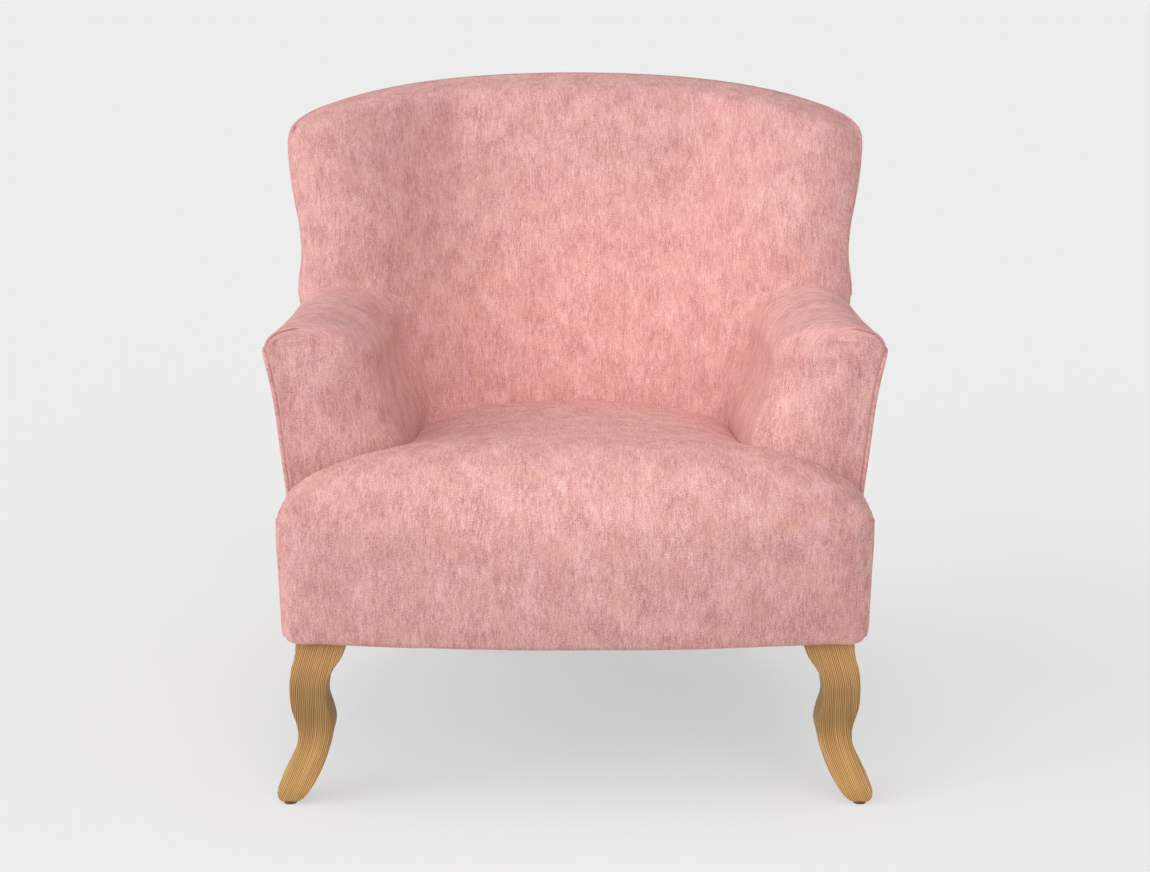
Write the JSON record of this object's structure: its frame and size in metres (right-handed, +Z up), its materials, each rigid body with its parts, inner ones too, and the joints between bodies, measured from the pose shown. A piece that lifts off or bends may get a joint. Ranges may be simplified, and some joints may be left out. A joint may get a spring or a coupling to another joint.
{
  "type": "upholstered armchair",
  "caption": "Low upholstered armchair with an arched barrel back, padded side rolls, piped outer edges, a sprung seat that runs in front of the arms, and S-curved wooden front legs.",
  "frame": {"origin": "bottom centre of the chair's bounding box, on the floor", "axes": "+X to the right as seen from the front, the front faces -Y, +Z up"},
  "size_m": [0.8042, 0.7602, 0.8536],
  "materials": {
    "cover_velvet": "crushed chenille velvet, dusty pink, mottled",
    "piping_velvet": "self piping in the cover velvet",
    "leg_oak": "oak, oiled, satin",
    "frame_beech": "planed beech, unfinished",
    "foam": "upholstery foam",
    "hessian": "jute hessian",
    "lining": "spunbond lining, matt black",
    "webbing": "elastic webbing",
    "steel": "spring wire and zinc plated bolts",
    "glide_nylon": "moulded nylon"
  },
  "bodies": {
    "root": {"front_seat_rail": "frame_beech", "rear_seat_rail": "frame_beech", "left_side_rail": "frame_beech", "left_front_corner_block": "frame_beech", "left_rear_corner_block": "frame_beech", "left_arm_post": "frame_beech", "left_arm_rail": "frame_beech", "left_arm_tack_rail": "frame_beech", "left_back_post": "frame_beech", "left_arm_foam": "foam", "left_arm_cover": "cover_velvet", "left_outside_arm": "cover_velvet", "left_arm_piping": "piping_velvet", "left_front_leg": "leg_oak", "left_rear_leg": "leg_oak", "left_front_leg_bolt": "steel", "left_rear_leg_bolt": "steel", "left_front_glide": "glide_nylon", "left_rear_glide": "glide_nylon", "right_side_rail": "frame_beech", "right_front_corner_block": "frame_beech", "right_rear_corner_block": "frame_beech", "right_arm_post": "frame_beech", "right_arm_rail": "frame_beech", "right_arm_tack_rail": "frame_beech", "right_back_post": "frame_beech", "right_arm_foam": "foam", "right_arm_cover": "cover_velvet", "right_outside_arm": "cover_velvet", "right_arm_piping": "piping_velvet", "right_front_leg": "leg_oak", "right_rear_leg": "leg_oak", "right_front_leg_bolt": "steel", "right_rear_leg_bolt": "steel", "right_front_glide": "glide_nylon", "right_rear_glide": "glide_nylon", "back_top_rail": "frame_beech", "back_tack_rail": "frame_beech", "back_webbing_1": "webbing", "back_webbing_2": "webbing", "back_webbing_3": "webbing", "back_foam": "foam", "inside_back_cover": "cover_velvet", "outside_back": "cover_velvet", "back_piping": "piping_velvet", "seat_spring_1": "steel", "seat_spring_2": "steel", "seat_spring_3": "steel", "seat_spring_4": "steel", "seat_hessian": "hessian", "seat_foam": "foam", "seat_cover": "cover_velvet", "dust_cover": "lining"}
  },
  "joints": []
}
